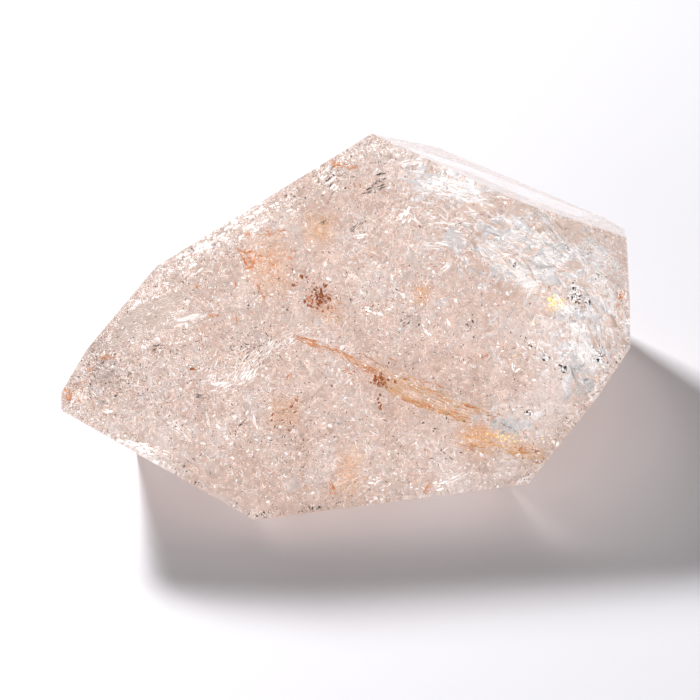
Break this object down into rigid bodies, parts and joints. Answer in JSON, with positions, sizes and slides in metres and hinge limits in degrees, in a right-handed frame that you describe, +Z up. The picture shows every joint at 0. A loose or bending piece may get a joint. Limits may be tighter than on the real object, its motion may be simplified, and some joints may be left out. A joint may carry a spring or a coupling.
{
  "type": "quartz freeform",
  "caption": "Freeform lump of pale pink quartz, cut with flat polished faces to one blunt tip, resting on a flat base as a display stone.",
  "frame": {"origin": "middle of the bounding box's bottom, on the surface that the stone rests on", "axes": "+X along the stone's length, away from the blunt tip; +Z up; the broad near faces look towards -Y"},
  "size_m": [0.1051, 0.0612, 0.0547],
  "materials": {
    "quartz": "polished, milky and full of fine healed cracks"
  },
  "bodies": {
    "root": {"quartz": "quartz"}
  },
  "joints": []
}
